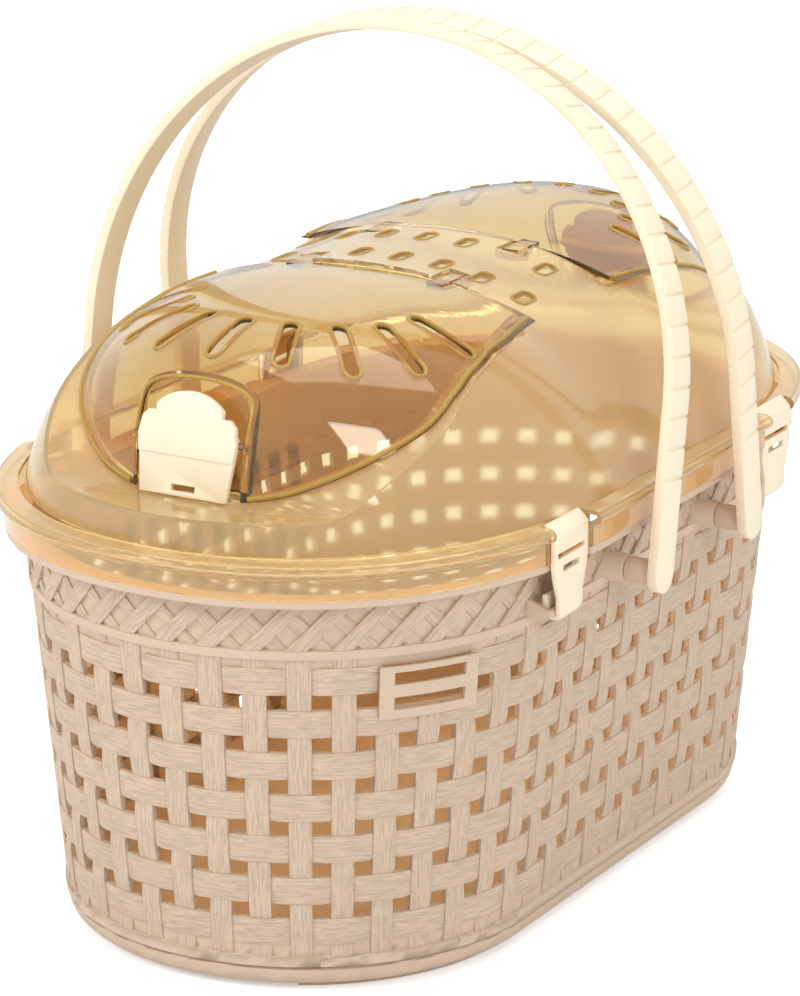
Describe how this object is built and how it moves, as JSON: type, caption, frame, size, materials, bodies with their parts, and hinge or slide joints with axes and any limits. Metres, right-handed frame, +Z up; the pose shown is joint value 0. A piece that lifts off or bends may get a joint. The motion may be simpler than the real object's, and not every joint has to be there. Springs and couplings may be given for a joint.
{
  "type": "pet carrier basket",
  "caption": "Woven-pattern plastic pet carrier tub with a clear lid, two hinged doors with latches, side clips and two carrying handles.",
  "frame": {"origin": "centre of the footprint, on the surface that the feet stand on", "axes": "+Y along the length, from the front door towards the rear door; +X across, towards the long side at the right of the picture; +Z up"},
  "size_m": [0.3212, 0.4918, 0.4127],
  "materials": {
    "tub_plastic": "matte, fine wood-like grain",
    "clear_plastic": "clear amber, glossy",
    "cream_plastic": "satin cream"
  },
  "bodies": {
    "tub": {"tub_floor": "tub_plastic", "tub_base": "tub_plastic", "tub_weave": "tub_plastic", "tub_rim": "tub_plastic", "label_plate": "tub_plastic"},
    "lid": {"lid_shell": "clear_plastic", "front_hinge_pin_left": "clear_plastic", "front_hinge_pin_right": "clear_plastic", "rear_hinge_pin_left": "clear_plastic", "rear_hinge_pin_right": "clear_plastic"},
    "front_door": {"front_door": "clear_plastic", "front_latch_pin": "clear_plastic"},
    "rear_door": {"rear_door": "clear_plastic", "rear_latch_pin": "clear_plastic"},
    "front_latch": {"front_latch": "cream_plastic"},
    "rear_latch": {"rear_latch": "cream_plastic"},
    "clip_front_left": {"clip_front_left": "cream_plastic"},
    "clip_front_right": {"clip_front_right": "cream_plastic"},
    "clip_rear_left": {"clip_rear_left": "cream_plastic"},
    "clip_rear_right": {"clip_rear_right": "cream_plastic"},
    "front_handle": {"front_handle": "cream_plastic", "pin_front_left": "cream_plastic", "pin_front_right": "cream_plastic"},
    "rear_handle": {"rear_handle": "cream_plastic", "pin_rear_left": "cream_plastic", "pin_rear_right": "cream_plastic"}
  },
  "joints": [
    {"name": "lid_lift", "type": "slide", "parent": "tub", "child": "lid", "axis": [0, 0, 1], "range_m": [0, 0.04]},
    {"name": "front_door_hinge", "type": "hinge", "parent": "lid", "child": "front_door", "pos_m": [0, -0.028, 0.2935], "axis": [-1, 0, 0], "range_deg": [0, 85]},
    {"name": "front_latch_pivot", "type": "hinge", "parent": "front_door", "child": "front_latch", "pos_m": [0, -0.20069, 0.25499], "axis": [-1, 0, 0], "range_deg": [0, 13]},
    {"name": "front_handle_pivot", "type": "hinge", "parent": "tub", "child": "front_handle", "pos_m": [0, -0.0477, 0.1739], "axis": [1, 0, 0], "range_deg": [0, 130]},
    {"name": "rear_door_hinge", "type": "hinge", "parent": "lid", "child": "rear_door", "pos_m": [0, 0.028, 0.2935], "axis": [1, 0, 0], "range_deg": [0, 85]},
    {"name": "rear_latch_pivot", "type": "hinge", "parent": "rear_door", "child": "rear_latch", "pos_m": [0, 0.20069, 0.25499], "axis": [1, 0, 0], "range_deg": [0, 13]},
    {"name": "rear_handle_pivot", "type": "hinge", "parent": "tub", "child": "rear_handle", "pos_m": [0, 0.0477, 0.1739], "axis": [-1, 0, 0], "range_deg": [0, 130]},
    {"name": "clip_front_left_hinge", "type": "hinge", "parent": "tub", "child": "clip_front_left", "pos_m": [-0.1384, -0.1075, 0.1722], "axis": [0, -1, 0], "range_deg": [0, 90]},
    {"name": "clip_front_right_hinge", "type": "hinge", "parent": "tub", "child": "clip_front_right", "pos_m": [0.1384, -0.1075, 0.1722], "axis": [0, 1, 0], "range_deg": [0, 90]},
    {"name": "clip_rear_left_hinge", "type": "hinge", "parent": "tub", "child": "clip_rear_left", "pos_m": [-0.1384, 0.1075, 0.1722], "axis": [0, -1, 0], "range_deg": [0, 90]},
    {"name": "clip_rear_right_hinge", "type": "hinge", "parent": "tub", "child": "clip_rear_right", "pos_m": [0.1384, 0.1075, 0.1722], "axis": [0, 1, 0], "range_deg": [0, 90]}
  ],
  "couplings": [
    {"joint": "clip_front_left_hinge", "follows": "lid_lift", "rad_per_m": 39.26},
    {"joint": "clip_front_right_hinge", "follows": "lid_lift", "rad_per_m": 39.26},
    {"joint": "clip_rear_left_hinge", "follows": "lid_lift", "rad_per_m": 39.26},
    {"joint": "clip_rear_right_hinge", "follows": "lid_lift", "rad_per_m": 39.26}
  ]
}
